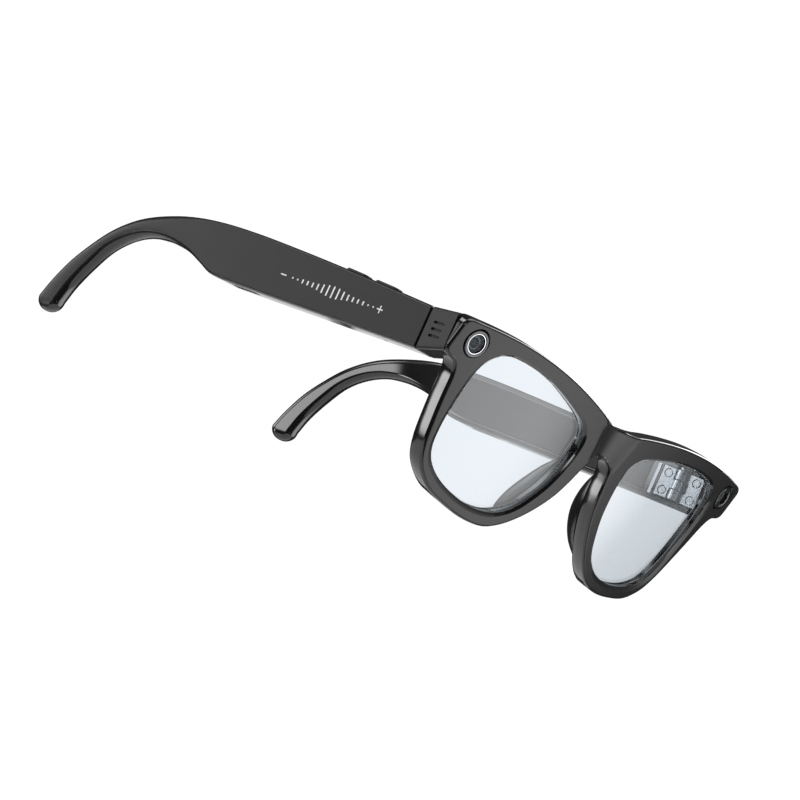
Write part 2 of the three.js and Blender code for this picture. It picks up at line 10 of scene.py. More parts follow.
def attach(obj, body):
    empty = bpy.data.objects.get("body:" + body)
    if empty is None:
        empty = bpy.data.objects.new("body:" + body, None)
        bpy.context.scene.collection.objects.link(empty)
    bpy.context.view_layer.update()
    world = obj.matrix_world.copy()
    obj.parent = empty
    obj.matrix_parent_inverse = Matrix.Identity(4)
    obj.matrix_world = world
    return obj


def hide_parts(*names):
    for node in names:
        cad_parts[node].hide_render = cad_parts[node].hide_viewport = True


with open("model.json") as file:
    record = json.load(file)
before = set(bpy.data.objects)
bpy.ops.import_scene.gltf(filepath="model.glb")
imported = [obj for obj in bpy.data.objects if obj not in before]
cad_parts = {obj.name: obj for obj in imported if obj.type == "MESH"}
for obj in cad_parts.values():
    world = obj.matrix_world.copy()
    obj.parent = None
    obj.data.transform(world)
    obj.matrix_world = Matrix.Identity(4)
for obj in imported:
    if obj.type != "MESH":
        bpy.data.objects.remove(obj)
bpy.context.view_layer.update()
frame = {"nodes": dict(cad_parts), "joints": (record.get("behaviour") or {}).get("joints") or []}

MM = 0.001
FRONT_DEPTH = 5.0  # rim thickness
BOW, TWIST = 8.8, -1.8  # how far the front's ends sweep back, and how much less they do higher up
BOW_HALF_WIDTH, MID_HEIGHT = 75.0, 24.0
LENS_FRONT, LENS_THICKNESS, LENS_EDGE, LENS_DOME = 1.6, 2.0, 0.6, 1.2
MODULE_X, MODULE_Z = 67.2, 39.6  # the camera's and the light's middle
SEAM = Vector((64.9, 17.45, 35.8))  # where the left temple's frame stands
TEMPLE_DROP, TEMPLE_SPLAY = math.radians(11.3), math.radians(5.5)
TEMPLE_THICKNESS, TIP_THICKNESS = 8.5, 5.0
ENDPIECE_TOP, ENDPIECE_BOTTOM = 6.1, -5.5
HALF_GAP = 0.15  # half of the seam between an endpiece and its temple
AXIS_U = 2.0  # the hinge pin's distance behind the seam
WALL, LEDGE = 1.3, 0.8  # a temple's wall, and the step that its inner cover rests on

# ---------- frames ----------
LEFT, RIGHT = 1, -1
SIDE_NAME = {LEFT: "left", RIGHT: "right"}


def joint(name):
    return next(j for j in frame["joints"] if j["name"] == name)


def front_to_row():
    """The upright front's place in the row: found from the left hinge pin's place and tilt."""
    temple = Euler((-TEMPLE_DROP, 0, 0)).to_matrix() @ Euler((0, 0, TEMPLE_SPLAY)).to_matrix()
    pin = SEAM + temple @ Vector((0, AXIS_U, 0))
    hinge = joint("left_temple_fold")
    axis = Vector(hinge["axis"])
    tilt = math.atan2(axis.z, axis.y) - math.atan2(math.cos(TEMPLE_DROP), math.sin(TEMPLE_DROP))
    turn = Matrix.Rotation(tilt, 4, "X")
    place = Vector(hinge["pos_m"]) / MM - turn @ pin
    return Matrix.Translation(place) @ turn


FRONT = front_to_row()


def temple_to_row(side):
    temple = Matrix.Translation(SEAM) @ Matrix.Rotation(-TEMPLE_DROP, 4, "X")
    temple = temple @ Matrix.Rotation(TEMPLE_SPLAY, 4, "Z")
    return FRONT @ Matrix.Diagonal((side, 1, 1, 1)) @ temple


TEMPLE = {side: temple_to_row(side) for side in (LEFT, RIGHT)}


def bow_at(x, z):
    return (x / BOW_HALF_WIDTH) ** 2 * (BOW + TWIST * (z - MID_HEIGHT) / MID_HEIGHT)


def module_to_row(side):
    """Stands a turned piece in the front: z = 0 on the face, z pointing forwards."""
    yaw = side * math.atan(2 * BOW * MODULE_X / BOW_HALF_WIDTH**2)
    place = Vector((side * MODULE_X, bow_at(MODULE_X, MODULE_Z), MODULE_Z))
    turn = Matrix.Rotation(yaw, 4, "Z") @ Matrix.Rotation(math.pi / 2, 4, "X")
    return FRONT @ Matrix.Translation(place) @ turn


# ---------- lines ----------
STEPS_PER_SPAN = 16


def hermite(p, t):
    """One span of a centripetal Catmull-Rom curve, between p[1] and p[2]."""
    d0, d1, d2 = (max(np.linalg.norm(p[i + 1] - p[i]), 1e-9) ** 0.5 for i in range(3))
    m1 = ((p[1] - p[0]) / d0 - (p[2] - p[0]) / (d0 + d1) + (p[2] - p[1]) / d1) * d1
    m2 = ((p[2] - p[1]) / d1 - (p[3] - p[1]) / (d1 + d2) + (p[3] - p[2]) / d2) * d1
    a = 2 * p[1] - 2 * p[2] + m1 + m2
    b = -3 * p[1] + 3 * p[2] - 2 * m1 - m2
    return ((a * t + b) * t + m1) * t + p[1]


def spaced(line, count):
    """A line resampled to count + 1 evenly spaced points."""
    line = np.asarray(line, float)
    along = np.concatenate([[0], np.cumsum(np.linalg.norm(np.diff(line, axis=0), axis=1))])
    at = np.linspace(0, along[-1], count + 1)
    return np.stack([np.interp(at, along, line[:, k]) for k in range(line.shape[1])], axis=1)


def smooth(points, count, closed=False):
    """A smooth curve through the points, as count evenly spaced spans."""
    points = [np.array(p, float) for p in points]
    if closed:
        ring = [points[-1], *points, points[0], points[1]]
    else:
        ring = [2 * points[0] - points[1], *points, 2 * points[-1] - points[-2]]
    shares = np.linspace(0, 1, STEPS_PER_SPAN, endpoint=False)
    dense = [hermite(ring[i : i + 4], t) for i in range(len(ring) - 3) for t in shares]
    line = spaced([*dense, ring[-2]], count)
    return line[:-1] if closed else line


def quadratic(a, b, c, count):
    """A bend from a to c that leans to b, as count + 1 points."""
    t = np.linspace(0, 1, count + 1)[:, None]
    a, b, c = (np.array(p, float) for p in (a, b, c))
    return (1 - t) ** 2 * a + 2 * t * (1 - t) * b + t**2 * c


def outward(line, closed=True):
    """Unit normals of a line, to the right of its direction: outwards for a counter-clockwise loop."""
    if closed:
        along = np.roll(line, -1, axis=0) - np.roll(line, 1, axis=0)
    else:
        along = np.gradient(line, axis=0)
    along /= np.linalg.norm(along, axis=1)[:, None]
    return np.stack([along[:, 1], -along[:, 0]], axis=1)


# ---------- meshes ----------
def mesh_object(name, vertices, faces, place, smooth_angle=30):
    """A new object from millimetre points in the frame that place carries to the row."""
    mesh = bpy.data.meshes.new(name)
    points = [place @ Vector(v) * MM for v in vertices]
    mesh.from_pydata(points, [], faces)
    bm = bmesh.new()
    bm.from_mesh(mesh)
    bmesh.ops.remove_doubles(bm, verts=bm.verts, dist=1e-7)
    bmesh.ops.recalc_face_normals(bm, faces=bm.faces)
    bm.to_mesh(mesh)
    bm.free()
    mesh.polygons.foreach_set("use_smooth", [True] * len(mesh.polygons))
    mesh.set_sharp_from_angle(angle=math.radians(smooth_angle))
    obj = bpy.data.objects.new(name, mesh)
    bpy.context.collection.objects.link(obj)
    return obj


def ring_faces(rings, sides, closed=False):
    """Quads between rings of equal length, with a face over each end unless the rings meet up."""
    faces = []
    for r in range(rings if closed else rings - 1):
        low, high = r * sides, (r + 1) % rings * sides
        for i in range(sides):
            j = (i + 1) % sides
            faces.append((low + i, low + j, high + j, high + i))
    if not closed:
        faces.append(tuple(reversed(range(sides))))
        faces.append(tuple(range((rings - 1) * sides, rings * sides)))
    return faces


def loft(name, rings, place, smooth_angle=30):
    """A solid skinned over rings of equal length, closed at both ends."""
    flat = [p for ring in rings for p in ring]
    return mesh_object(name, flat, ring_faces(len(rings), len(rings[0])), place, smooth_angle)


def lathe(name, profile, place, sides=96, smooth_angle=35):
    """A turned piece round z from a closed [radius, height] profile."""
    rings = []
    for i in range(sides):
        turn = 2 * math.pi * i / sides
        rings.append([(r * math.cos(turn), r * math.sin(turn), h) for r, h in profile])
    flat = [p for ring in rings for p in ring]
    faces = ring_faces(sides, len(profile), closed=True)
    return mesh_object(name, flat, faces, place, smooth_angle)


def rounded_rectangle(x0, x1, y0, y1, radius, steps=6):
    """The outline of a rectangle, with steps spans round each corner."""
    corners = [(x1, y0, -90), (x1, y1, 0), (x0, y1, 90), (x0, y0, 180)]
    points = []
    for x, y, start in corners:
        cx = x - radius if x == x1 else x + radius
        cy = y - radius if y == y1 else y + radius
        for k in range(steps + 1):
            turn = math.radians(start + 90 * k / steps)
            points.append((cx + radius * math.cos(turn), cy + radius * math.sin(turn)))
    return points


def upright(x, y, z):
    """Lifts an outline along z."""
    return (x, y, z)


def on_side(u, n, w):
    """Lifts an outline drawn on a temple's side outwards."""
    return (w, u, n)


def prism(name, outline, low, high, lift, place):
    """A straight-sided solid: outline points carried by lift(a, b, height) into the frame."""
    rings = [[lift(a, b, h) for a, b in outline] for h in (low, high)]
    return loft(name, rings, place)


CUT_EDGE_ANGLE = 30


def carve(obj, *cutters):
    """Cuts each cutter from obj and discards it."""
    for cutter in cutters:
        cut = obj.modifiers.new("cut", "BOOLEAN")
        cut.object, cut.operation, cut.solver = cutter, "DIFFERENCE", "EXACT"
    depsgraph = bpy.context.evaluated_depsgraph_get()
    cut_mesh = bpy.data.meshes.new_from_object(obj.evaluated_get(depsgraph))
    obj.modifiers.clear()
    obj.data = cut_mesh
    cut_mesh.set_sharp_from_angle(angle=math.radians(CUT_EDGE_ANGLE))
    for cutter in cutters:
        bpy.data.objects.remove(cutter, do_unlink=True)
    return obj


def even_shading(obj):
    """Shades flat faces flat beside the roundings of the edges."""
    weighted = obj.modifiers.new("even_shading", "WEIGHTED_NORMAL")
    weighted.keep_sharp = True


# ---------- materials ----------
class Nodes:
    """A node material with a short way to add and link nodes."""

    def __init__(self, name, base, roughness, metallic=0.0, **sockets):
        self.material = bpy.data.materials.new(name)
        self.material.use_nodes = True
        self.tree = self.material.node_tree
        self.shader = self.tree.nodes["Principled BSDF"]
        self.set("Base Color", (*base, 1))
        self.set("Roughness", roughness)
        self.set("Metallic", metallic)
        for socket, value in sockets.items():
            self.set(socket.replace("_", " "), value)
        self.where = self.add("ShaderNodeTexCoord").outputs["Object"]

    def set(self, socket, value):
        self.shader.inputs[socket].default_value = value

    def add(self, kind, **inputs):
        node = self.tree.nodes.new(kind)
        for socket, value in inputs.items():
            self.feed(node, socket, value)
        return node

    def feed(self, node, socket, value):
        if isinstance(value, bpy.types.NodeSocket):
            self.tree.links.new(value, node.inputs[socket])
        else:
            node.inputs[socket].default_value = value

    def noise(self, scale, detail=2.0):
        node = self.add("ShaderNodeTexNoise", Vector=self.where, Scale=scale, Detail=detail)
        return node.outputs["Fac"]

    def spread(self, fac, low, high):
        """A 0 to 1 value carried to low..high."""
        node = self.add("ShaderNodeMapRange", Value=fac)
        node.inputs["To Min"].default_value = low
        node.inputs["To Max"].default_value = high
        return node.outputs["Result"]

    def shade(self, fac, dark, light):
        ramp = self.add("ShaderNodeValToRGB", Fac=fac)
        ramp.color_ramp.elements[0].color = (*dark, 1)
        ramp.color_ramp.elements[1].color = (*light, 1)
        return ramp.outputs["Color"]

    def colour(self, value):
        self.feed(self.shader, "Base Color", value)

    def rough(self, value):
        self.feed(self.shader, "Roughness", value)

    def bump(self, height, strength, distance):
        node = self.add("ShaderNodeBump", Height=height, Strength=strength, Distance=distance)
        self.feed(self.shader, "Normal", node.outputs["Normal"])


def plastic(name, dark, light, rough_low, rough_high, grain=0.0, coat=0.0, shine=0.5):
    """Moulded plastic: cloudy colour, uneven gloss and, where grain is above 0, a fine texture."""
    m = Nodes(name, light, rough_low, Coat_Weight=coat, Coat_Roughness=0.08, Specular_IOR_Level=shine)
    m.colour(m.shade(m.noise(35, 3), dark, light))
    m.rough(m.spread(m.noise(90, 4), rough_low, rough_high))
    if grain:
        m.bump(m.noise(2600, 2), grain, 0.00002)
    return m.material


def metal(name, base, rough_low, rough_high, brushed=0.0):
    """Bare metal, slightly uneven in colour and gloss."""
    m = Nodes(name, base, rough_low, 1.0)
    m.colour(m.shade(m.noise(2600, 2), tuple(0.9 * c for c in base), base))
    m.rough(m.spread(m.noise(3200, 3), rough_low, rough_high))
    if brushed:
        m.bump(m.noise(2500, 1), brushed, 0.00001)
    return m.material


def lens_material():
    m = Nodes("tinted_lens", (0.76, 0.8, 0.83), 0.01, IOR=1.62, Transmission_Weight=1.0)
    m.colour(m.shade(m.noise(14, 1), (0.61, 0.66, 0.705), (0.7, 0.755, 0.795)))
    return m.material


def window_material():
    m = Nodes("window_glass", (0.4, 0.46, 0.48), 0.01, IOR=1.2, Transmission_Weight=1.0)
    m.colour(m.shade(m.noise(300, 1), (0.36, 0.43, 0.45), (0.44, 0.5, 0.52)))
    return m.material


# Painted reflection colours of the optic's coating, from a face that meets the view square on to one that
# turns away from it.
OPTIC_REFLECTION_TINTS = [
    (0.0, (0.01, 0.02, 0.03)),
    (0.35, (0.02, 0.12, 0.1)),
    (0.6, (0.03, 0.06, 0.3)),
    (1.0, (0.3, 0.12, 0.42)),
]


def coated_optic():
    """Coated glass with a painted reflection of its coating: the colour turns from near black where a face
    meets the view square on, through green and blue, to violet where it turns away, which on the dome seen
    from the front is away from its middle.
    """
    m = Nodes("coated_optic", (0.05, 0.06, 0.12), 0.05, Coat_Weight=1.0, Coat_Roughness=0.02)
    facing = m.add("ShaderNodeLayerWeight", Blend=0.35).outputs["Facing"]
    ramp = m.add("ShaderNodeValToRGB", Fac=facing)
    elements = ramp.color_ramp.elements
    elements[0].color = (*OPTIC_REFLECTION_TINTS[0][1], 1)
    elements[1].color = (*OPTIC_REFLECTION_TINTS[-1][1], 1)
    for position, colour in OPTIC_REFLECTION_TINTS[1:-1]:
        elements.new(position).color = (*colour, 1)
    m.colour(ramp.outputs["Color"])
    return m.material


def circuit_material():
    m = Nodes("circuit_board_green", (0.03, 0.16, 0.08), 0.4)
    m.colour(m.shade(m.noise(1500, 1), (0.015, 0.1, 0.05), (0.04, 0.2, 0.1)))
    return m.material


GLOSS = plastic("gloss_black", (0.003, 0.003, 0.004), (0.007, 0.007, 0.008), 0.1, 0.16, coat=0.6)
SATIN = plastic(
    "satin_black", (0.009, 0.009, 0.010), (0.015, 0.0147, 0.0155), 0.28, 0.34, grain=0.05, shine=0.32
)
PAD = plastic("pad_black", (0.004, 0.004, 0.005), (0.009, 0.009, 0.01), 0.14, 0.2)
COVER = plastic("cover_black", (0.008, 0.009, 0.009), (0.015, 0.016, 0.016), 0.32, 0.4, shine=0.25)
DARK = plastic("dark_interior", (0.003, 0.003, 0.004), (0.008, 0.008, 0.01), 0.3, 0.5)
PRINT = plastic("white_print", (0.82, 0.82, 0.83), (0.92, 0.92, 0.93), 0.4, 0.5)
FILM = plastic("polyimide_film", (0.3, 0.13, 0.03), (0.42, 0.2, 0.05), 0.3, 0.45)
DIFFUSER = plastic("frosted_diffuser", (0.6, 0.6, 0.58), (0.75, 0.75, 0.72), 0.5, 0.6)
STEEL = metal("steel", (0.42, 0.43, 0.45), 0.26, 0.34, brushed=0.1)
BRIGHT = metal("bright_ring", (0.75, 0.77, 0.82), 0.1, 0.18)
DIM = metal("dim_ring", (0.16, 0.165, 0.17), 0.2, 0.28)
GRILLE = metal("grille_black", (0.08, 0.08, 0.085), 0.4, 0.5)
GOLD = metal("gold_plate", (0.85, 0.62, 0.28), 0.2, 0.3)
FOIL = metal("cell_foil", (0.5, 0.51, 0.53), 0.3, 0.45)
LENS, WINDOW, OPTIC, CIRCUIT = lens_material(), window_material(), coated_optic(), circuit_material()


def dress(obj, body, slot, *materials, replaces=()):
    """Gives a new piece its materials and body, and hides the CAD nodes it stands for. The slot is not
    used.
    """
    obj.data.materials.clear()
    for look in materials:
        obj.data.materials.append(look)
    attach(obj, body)
    if replaces:
        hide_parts(*replaces)
    return obj


# ---------- front ----------
# The left half, seen square on: x to the left, z up. From the middle of the brow to the outer corner, from
# there under the lens to the middle of the arch over the nose, and round the lens opening.
BROW = [
    (0, 40.4), (6.3, 41.1), (13.4, 42.7), (22.9, 44.4), (32.4, 45.6), (41.9, 46.2), (51.4, 46.3),
    (60.9, 45.7), (71.8, 44.5),
]
CHEEK = [
    (71.6, 33.4), (70.1, 33.0), (68.8, 32.0), (67.6, 29.9), (65.8, 23.5), (64.2, 18.3),
    (61.8, 11.6), (59.2, 7.2), (56.1, 4.5), (51.4, 2.1), (44.2, 0.7), (35.5, 0), (27.6, 0.9),
    (22.9, 3.1), (18.1, 6.8), (13.4, 11.8), (9.6, 17.3), (7.5, 22.2), (6, 26.8), (4.4, 30.2),
    (2.4, 31.5), (0, 31.8),
]
OPENING = [
    (49, 42), (41.9, 42), (34.7, 41.4), (27.6, 40), (20.5, 38.2), (16.7, 36.9), (14.1, 35.2),
    (12.6, 32.8), (12.4, 29.7), (13.1, 24.4), (14.8, 18.8), (17.7, 13.5), (20.5, 9.7), (24.3, 6.7),
    (29.1, 4.7), (36.8, 3.8), (46.6, 4.9), (52.3, 6.7), (56.1, 9), (58.5, 12.1), (60.1, 17.3),
    (60.9, 23), (61.3, 30.5), (60.7, 35.6), (58.8, 38.8), (55, 41.2),
]
OPENING_MIDDLE = np.array((37.0, 24.0))
SIDE_X = 74.6
BRIDGE_LOW, BRIDGE_HIGH, BRIDGE_STATIONS = 33.2, 38.9, 8  # the stations down the front's middle line
BRIDGE_ROWS, FACE_ROWS = 5, 6  # points of a section up to the bridge's crease, and from there on
CREASE_X, CREASE_Z, CREASE_LEAN = 5.6, 29.7, 0.25  # the bridge's crease: a point on it, and its slant
CREASE_DEPTH = 1.5
LEAST_SHARE = 0.1  # of a section on each side of the crease
SMALLEST_TURN = 0.009  # radians between one section and the next
LIP, FOOT = 0.8, 1.0  # the roundings of the outline's front and back edges
ROUNDING = [(0.62, 0.06), (0.29, 0.29), (0.06, 0.62)]
BEVEL, LOW_BEVEL, LOW_TOWARDS = 0.75, 0.65, (0.75, -0.66)  # the opening's bevel widens low and outside
DRAFT = 0.8  # how far the outer corners lean in
DRAFT_X, DRAFT_Z = (70, 3), (32.5, 2)  # where the lean begins, and over what length it comes in


def front_outline():
    """The left half of the outline, from the middle of the brow round to the middle of the arch."""
    top = quadratic(BROW[-1], (SIDE_X, 44.2), (SIDE_X, 41.6), 8)
    bottom = quadratic((SIDE_X, 36), (SIDE_X, 33.6), CHEEK[0], 8)
    side = spaced([top[-1], bottom[0]], 6)
    parts = [smooth(BROW, 84), top, side, bottom, smooth(CHEEK, 190)]
    return np.concatenate([part[:-1] for part in parts[:-1]] + [parts[-1]])


def angle_of(points):
    """Each point's angle round the middle of the lens opening, without jumps."""
    away = points - OPENING_MIDDLE
    return np.unwrap(np.arctan2(away[:, 1], away[:, 0]))


def opening_at(angles):
    """Points of the lens opening at the given angles round its middle, and their outward normals."""
    loop = smooth(OPENING, 400, closed=True)
    normals = outward(loop)
    turns = angle_of(loop)
    whole = 2 * math.pi
    base = np.concatenate([turns - 2 * whole, turns - whole, turns, turns + whole])
    order = np.argsort(base)
    columns = [np.tile(a, 4)[order] for a in (*loop.T, *normals.T)]
    x, z, nx, nz = (np.interp(angles, base[order], column) for column in columns)
    return np.stack([x, z], axis=1), np.stack([nx, nz], axis=1)


def crease_x(z):
    """Where the bridge's crease lies, half way between the front's middle and the lens."""
    return CREASE_X + (z - CREASE_Z) * CREASE_LEAN


def scoop(x, z):
    """How far the bridge's front is set back between its two creases."""
    return CREASE_DEPTH * np.clip(1 - (np.abs(x) / crease_x(z)) ** 2, 0, 1)


def front_sections():
    """For each station round the opening, the closed section from the outline to the opening."""
    outline = front_outline()
    heights = np.linspace(BRIDGE_LOW, BRIDGE_HIGH, BRIDGE_STATIONS)
    middle = np.stack([np.zeros(BRIDGE_STATIONS), heights], axis=1)
    outer = np.concatenate([outline, middle])
    normal = -outward(outline, closed=False)
    normal[0], normal[-1] = (0, 1), (0, -1)
    normal = np.concatenate([normal, np.zeros((len(middle), 2))])
    angles = angle_of(outer)
    for i in reversed(range(len(angles) - 1)):  # always turn on, so that no section crosses the next
        angles[i] = max(angles[i], angles[i + 1] + SMALLEST_TURN)
    inner, away = opening_at(angles)
    sections = []
    for o, n, a, m in zip(outer, normal, inner, away):  # outer point and normal, inner point and normal
        at_wall = np.hypot(*n) > 0.5
        lip, foot = (LIP, FOOT) if at_wall else (0.0, 0.0)
        start = o - n * lip
        end = a + m * (BEVEL + LOW_BEVEL * max(0.0, m @ np.array(LOW_TOWARDS)))
        cross = LEAST_SHARE
        if start[0] < crease_x(start[1]):
            run = end - start
            reach = (crease_x(start[1]) - start[0]) / (run[0] - CREASE_LEAN * run[1])
            cross = min(max(reach, LEAST_SHARE), 1 - LEAST_SHARE)
        shares = [*np.linspace(0, cross, BRIDGE_ROWS), *np.linspace(cross, 1, FACE_ROWS)[1:]]
        flat = [(start + s * (end - start), 0.0) for s in shares]
        inside = [(a + m * 0.12, 0.5), (a + m * 0.02, 0.62), (a, 0.8), (a, 2.4), (a, 4.4)]
        inside += [(a + m * 0.15, 4.8), (a + m * 0.5, FRONT_DEPTH)]
        back_from, back_to = inside[-1][0], o - n * foot
        back = [(back_from + s * (back_to - back_from), FRONT_DEPTH) for s in np.linspace(0, 1, 6)[1:]]
        if at_wall:
            back += [(o - n * foot * s, FRONT_DEPTH - foot * (1 - h)) for s, h in ((0.3, 0.7), (0, 0))]
        else:
            back += [(o, 4.7), (o, 4.0)]
        wall = [(o, 2.4), (o, LIP)]
        corner = [(o - n * lip * s, LIP * h) for s, h in ROUNDING]
        sections.append([*flat, *inside, *back, *wall, *reversed(corner)])
    return sections


def draft(x, z):
    """The outer corners' side walls lean in towards the back, to meet the endpieces."""
    shares = [min(max((at - start) / run, 0), 1) for at, (start, run) in ((x, DRAFT_X), (z, DRAFT_Z))]
    return DRAFT * shares[0] * shares[1]


def shaped(p, y):
    """A section's point carried onto the bowed front, with the bridge set back."""
    x, z = p
    settled = scoop(x, z) * (1 - y / FRONT_DEPTH)
    return (x - draft(x, z) * y / FRONT_DEPTH, y + settled + bow_at(x, z), z)


def front_shell():
    """The moulded front: the left half skinned over its sections, and its mirror image."""
    sections = front_sections()
    half = [[shaped(p, y) for p, y in section] for section in sections]
    sides = len(half[0])
    points = [q for ring in half for q in ring]
    faces = ring_faces(len(half), sides, closed=True)
    faces = [f for f in faces if not all(abs(points[i][0]) < 1e-6 for i in f)]
    count = len(points)
    points += [(-x, y, z) for x, y, z in points]
    faces += [tuple(count + i for i in reversed(f)) for f in faces]
    return mesh_object("front_shell", points, faces, FRONT, 32)


def module_hole(side):
    profile = [(0, 2), (0, -3.6), (3.9, -3.6), (3.9, -0.25), (4.15, 0.02), (4.15, 2)]
    return lathe("hole", profile, module_to_row(side))


ENDPIECE_STATIONS = [(-9.2, 0), (-0.45, 0), (-HALF_GAP, 0.3)]  # place before the seam, and inset
ENDPIECE_REACH = 9.4  # where the endpiece has grown by the amounts below
GROW_OUT, RISE_BOTTOM, RISE_TOP = 0.35, 2.1, 0.6
SLOT_LEVELS, SLOT_SPAN, SLOT_HEIGHT, SLOT_DEPTH = (-1.6, 0.2, 2), (-6.4, -2.6), 0.7, 0.5
POCKET_SPAN, POCKET_HALF = (-3, 1.5), 4.5  # across the temple, and half its height
ROOM_RADIUS, ROOM_LOW, ROOM_HIGH = 2.5, -4.49, 5.5
ENDPIECE_POCKET, TEMPLE_POCKET = (-4.5, 1), (-1, 8.5)  # where each starts and ends along the temple


def endpiece(side):
    """The block between the front and the seam, with three slots in its outer side."""
    rings = []
    for u, inset in ENDPIECE_STATIONS:
        share = (u + HALF_GAP) / (HALF_GAP - ENDPIECE_REACH)
        outer = TEMPLE_THICKNESS + GROW_OUT * share
        low = ENDPIECE_BOTTOM + RISE_BOTTOM * share + inset
        high = ENDPIECE_TOP + RISE_TOP * share - inset
        ring = rounded_rectangle(inset, outer - inset, low, high, 0.9 - inset / 2)
        rings.append([(w, u, n) for w, n in ring])
    corner = loft(f"{SIDE_NAME[side]}_endpiece", rings, TEMPLE[side])
    return carve(corner, *hinge_cuts(side, *ENDPIECE_POCKET), *endpiece_slots(side))


def endpiece_slots(side):
    slots = []
    floor = TEMPLE_THICKNESS - SLOT_DEPTH
    for n in SLOT_LEVELS:
        outline = rounded_rectangle(*SLOT_SPAN, n, n + SLOT_HEIGHT, 0.34)
        slots.append(prism("slot", outline, floor, TEMPLE_THICKNESS + 2, on_side, TEMPLE[side]))
    return slots


def cylinder(name, radius, low, high, place, sides=48):
    profile = [(0, low), (radius, low), (radius, high), (0, high)]
    return lathe(name, profile, place, sides)


def hinge_cuts(side, start, end):
    """The pocket of a hinge leaf, from start to end along the temple, and the knuckles' round room."""
    pocket = rounded_rectangle(*POCKET_SPAN, start, end, 0.2)
    pin = TEMPLE[side] @ Matrix.Translation((0, AXIS_U, 0))
    return [
        prism("pocket", pocket, -POCKET_HALF, POCKET_HALF, upright, TEMPLE[side]),
        cylinder("room", ROOM_RADIUS, ROOM_LOW, ROOM_HIGH, pin),
    ]


def paint_front(obj):
    """Satin on the flat front faces and on the faces that point up, gloss elsewhere."""
    forward = FRONT.to_3x3() @ Vector((0, -1, 0))
    for polygon in obj.data.polygons:
        middle = FRONT.inverted() @ (Vector(polygon.center) / MM)
        depth = middle.y - bow_at(middle.x, middle.z) - scoop(middle.x, middle.z)
        facing = polygon.normal @ forward > 0.8 and depth < 0.3
        polygon.material_index = 0 if facing or polygon.normal.z > 0.9 else 1


def build_front():
    shell = front_shell()
    carve(shell, module_hole(LEFT), module_hole(RIGHT))
    dress(shell, "front", "gloss_black_plastic", SATIN, GLOSS, replaces=["front_frame"])
    paint_front(shell)
    even_shading(shell)
    for side in (LEFT, RIGHT):
        corner = endpiece(side)
        dress(corner, "front", "gloss_black_plastic", SATIN, GLOSS)
        for polygon in corner.data.polygons:
            polygon.material_index = 1 if polygon.normal.z < -0.9 else 0
        even_shading(corner)


# ---------- lenses and pads ----------
LENS_REACH = (25.5, 20.5)  # how far each way from its middle a lens falls back by its dome's height


def build_lens(side):
    """A lens of even thickness, domed forwards, a little larger than its opening."""
    loop = smooth(OPENING, 240, closed=True)
    rim = loop + outward(loop) * LENS_EDGE
    shares = [0.02, *np.linspace(0.06, 0.96, 20), 1]
    reach = np.array(LENS_REACH)
    rings = []
    for y, order in ((LENS_FRONT, shares), (LENS_FRONT + LENS_THICKNESS, shares[::-1])):
        for share in order:
            ring = []
            for x, z in OPENING_MIDDLE + (rim - OPENING_MIDDLE) * share:
                out = np.sum(((np.array((x, z)) - OPENING_MIDDLE) / reach) ** 2)
                ring.append((side * x, y - LENS_DOME * (1 - out) + bow_at(x, z), z))
            rings.append(ring)
    name = f"{SIDE_NAME[side]}_lens"
    lens = loft(f"{name}_ground", rings, FRONT, smooth_angle=40)
    dress(lens, "front", "lens_glass", LENS, replaces=[name])


PAD_SPINE = [(6.1, 27.6), (7.4, 23.2), (9.6, 17.3), (12.4, 12.8), (15.8, 8.8), (19.6, 5.6)]
PAD_DEPTH, PAD_HALF_WIDTH, PAD_SHIFT, PAD_LEAN = 5, 2, 2.3, 0.28


def build_nose_pad(side):
    """A half round ridge along the nose side of the lens, full in its middle and thin at its ends."""
    spine = smooth(PAD_SPINE, 52)
    rings = []
    for i, (x0, z) in enumerate(spine):
        share = i / (len(spine) - 1)
        fullness = math.sin(math.pi * (0.02 + 0.96 * share)) ** 0.6
        ring = []
        for k in range(21):
            turn = math.pi * k / 20
            reach = PAD_DEPTH * fullness * math.sin(turn)
            x = x0 + PAD_SHIFT + PAD_HALF_WIDTH * fullness * math.cos(turn) + PAD_LEAN * reach
            y = FRONT_DEPTH - 0.2 + reach + bow_at(x, z)
            ring.append((side * x, y, z))
        rings.append(ring)
    name = f"{SIDE_NAME[side]}_nose_pad"
    pad = loft(f"{name}_moulded", rings, FRONT, smooth_angle=60)
    dress(pad, "front", "gloss_black_plastic", PAD, replaces=[name])


# ---------- camera and light ----------
RING = (2.56, 2.76)  # the thin bright ring set in each black bezel
BEZEL = [
    (RING[0], -0.75), (2.75, -0.9), (3.62, -0.9), (3.62, 0.02), (3.54, 0.12), (3.4, 0.17),
    (3.1, 0.12), (RING[1], 0.0), (RING[1] - 0.03, 0.08), (RING[0] + 0.05, 0.08), (RING[0], 0.0),
]


def paint_ring(obj, place, low, high):
    """The second material on the faces between two radii of a turned piece's front."""
    back = place.inverted()
    for polygon in obj.data.polygons:
        middle = back @ (Vector(polygon.center) / MM)
        reach = math.hypot(middle.x, middle.y)
        polygon.material_index = 1 if low < reach < high and middle.z > -0.12 else 0


def build_bezel(side, kind, ring):
    """The bezel with its ring of the given look, and the pane behind it."""
    place = module_to_row(side)
    bezel = lathe(f"{kind}_bezel_turned", BEZEL, place)
    dress(bezel, "front", "steel", GLOSS, ring, replaces=[f"{kind}_bezel"])
    paint_ring(bezel, place, RING[0], RING[1])
    window = [(0, -0.25), (2.4, -0.25), (2.5, -0.35), (2.5, -0.75), (0, -0.75)]
    pane = lathe(f"{kind}_window_pane", window, place)
    dress(pane, "front", "cover_glass", WINDOW, replaces=[f"{kind}_window"])


